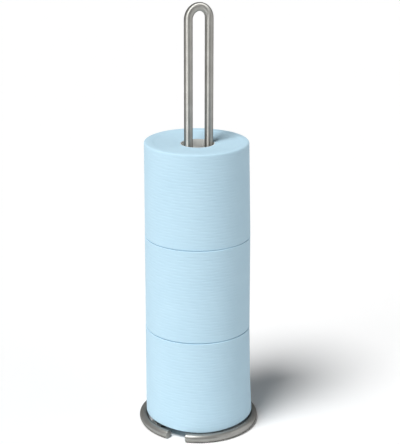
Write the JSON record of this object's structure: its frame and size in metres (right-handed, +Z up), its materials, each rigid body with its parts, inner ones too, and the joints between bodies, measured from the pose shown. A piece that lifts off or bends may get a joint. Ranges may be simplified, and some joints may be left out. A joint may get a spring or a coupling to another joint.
{
  "type": "toilet paper holder",
  "caption": "Free-standing spare toilet roll holder: a tall bent-bar loop on an open round-bar ring, with paper rolls stacked over the loop and lifted off upwards.",
  "frame": {"origin": "on the floor at the centre of the base ring", "axes": "+Z up, X along the crossbar and the plane of the loop, Y across the loop"},
  "size_m": [0.1292, 0.1292, 0.4578],
  "materials": {
    "brushed_bar": "even satin",
    "weld_metal": "rippled weld bead, lightly brushed",
    "tissue_paper": "light blue tissue, fine embossed ridges",
    "core_board": "grey-beige wound board"
  },
  "bodies": {
    "stand": {"upright_loop": "brushed_bar", "base_ring": "brushed_bar", "crossbar": "brushed_bar", "ring_welds": "weld_metal", "leg_welds": "weld_metal"},
    "bottom_roll": {"bottom_roll_paper": "tissue_paper", "bottom_roll_core": "core_board"},
    "middle_roll": {"middle_roll_paper": "tissue_paper", "middle_roll_core": "core_board"},
    "top_roll": {"top_roll_paper": "tissue_paper", "top_roll_core": "core_board"}
  },
  "joints": [
    {"name": "bottom_roll_lift", "type": "slide", "parent": "stand", "child": "bottom_roll", "axis": [0, 0, 1], "range_m": [0, 0.455]},
    {"name": "middle_roll_lift", "type": "slide", "parent": "bottom_roll", "child": "middle_roll", "axis": [0, 0, 1], "range_m": [0, 0.353]},
    {"name": "top_roll_lift", "type": "slide", "parent": "middle_roll", "child": "top_roll", "axis": [0, 0, 1], "range_m": [0, 0.251]}
  ]
}
